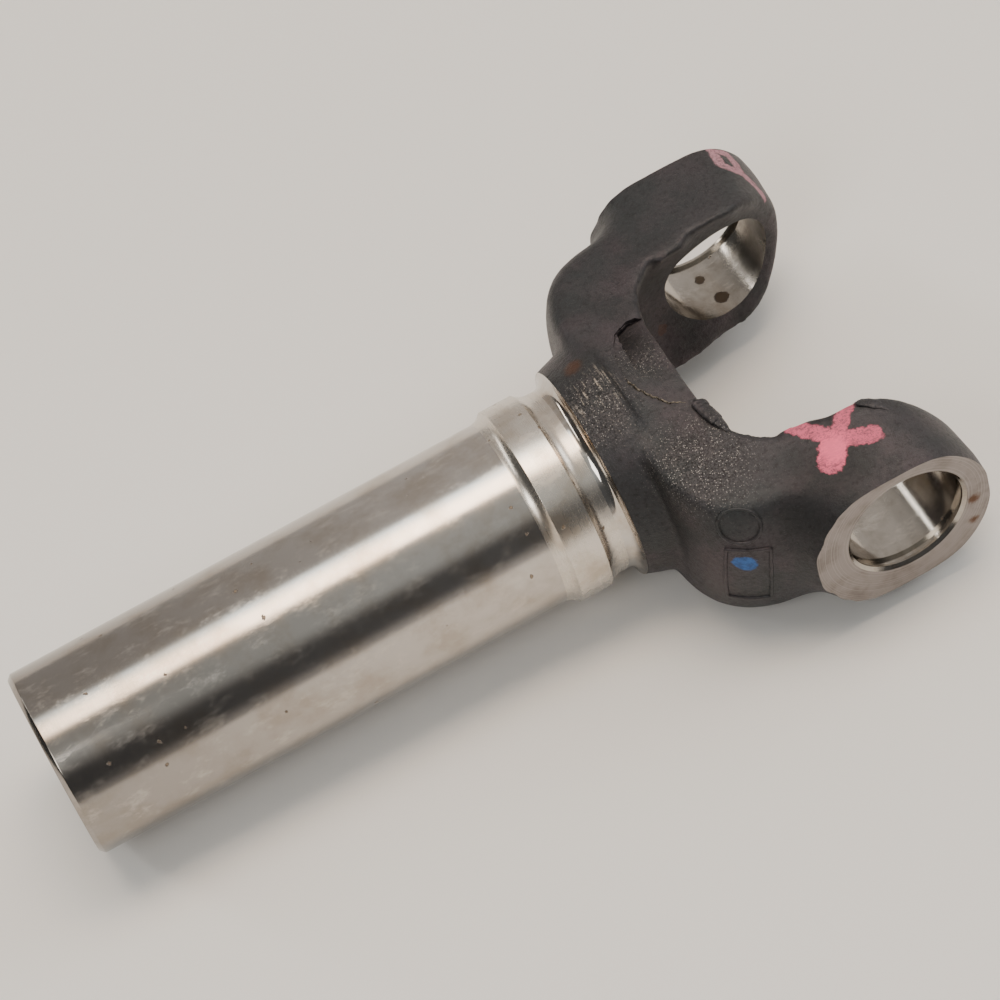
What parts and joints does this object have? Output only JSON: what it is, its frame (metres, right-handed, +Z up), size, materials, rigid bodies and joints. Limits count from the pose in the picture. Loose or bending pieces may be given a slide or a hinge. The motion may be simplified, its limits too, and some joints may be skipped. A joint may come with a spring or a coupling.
{
  "type": "slip yoke",
  "caption": "Forged steel slip yoke: a long ground barrel with an internal spline, and a forked end bored for a universal-joint cross.",
  "frame": {"origin": "middle of the cross bore, where it meets the shaft axis", "axes": "+X along the shaft axis from the open barrel end to the ears, +Y along the cross bore, +Z up through the base's flat side"},
  "size_m": [0.2228, 0.1124, 0.0592],
  "materials": {
    "yoke": "dark as-forged skin on the ears and base, ground barrel, turned land and groove, machined ear faces and bores",
    "expansion_plug": "plain pressed steel"
  },
  "bodies": {
    "root": {"yoke": "yoke", "expansion_plug": "expansion_plug"}
  },
  "joints": []
}
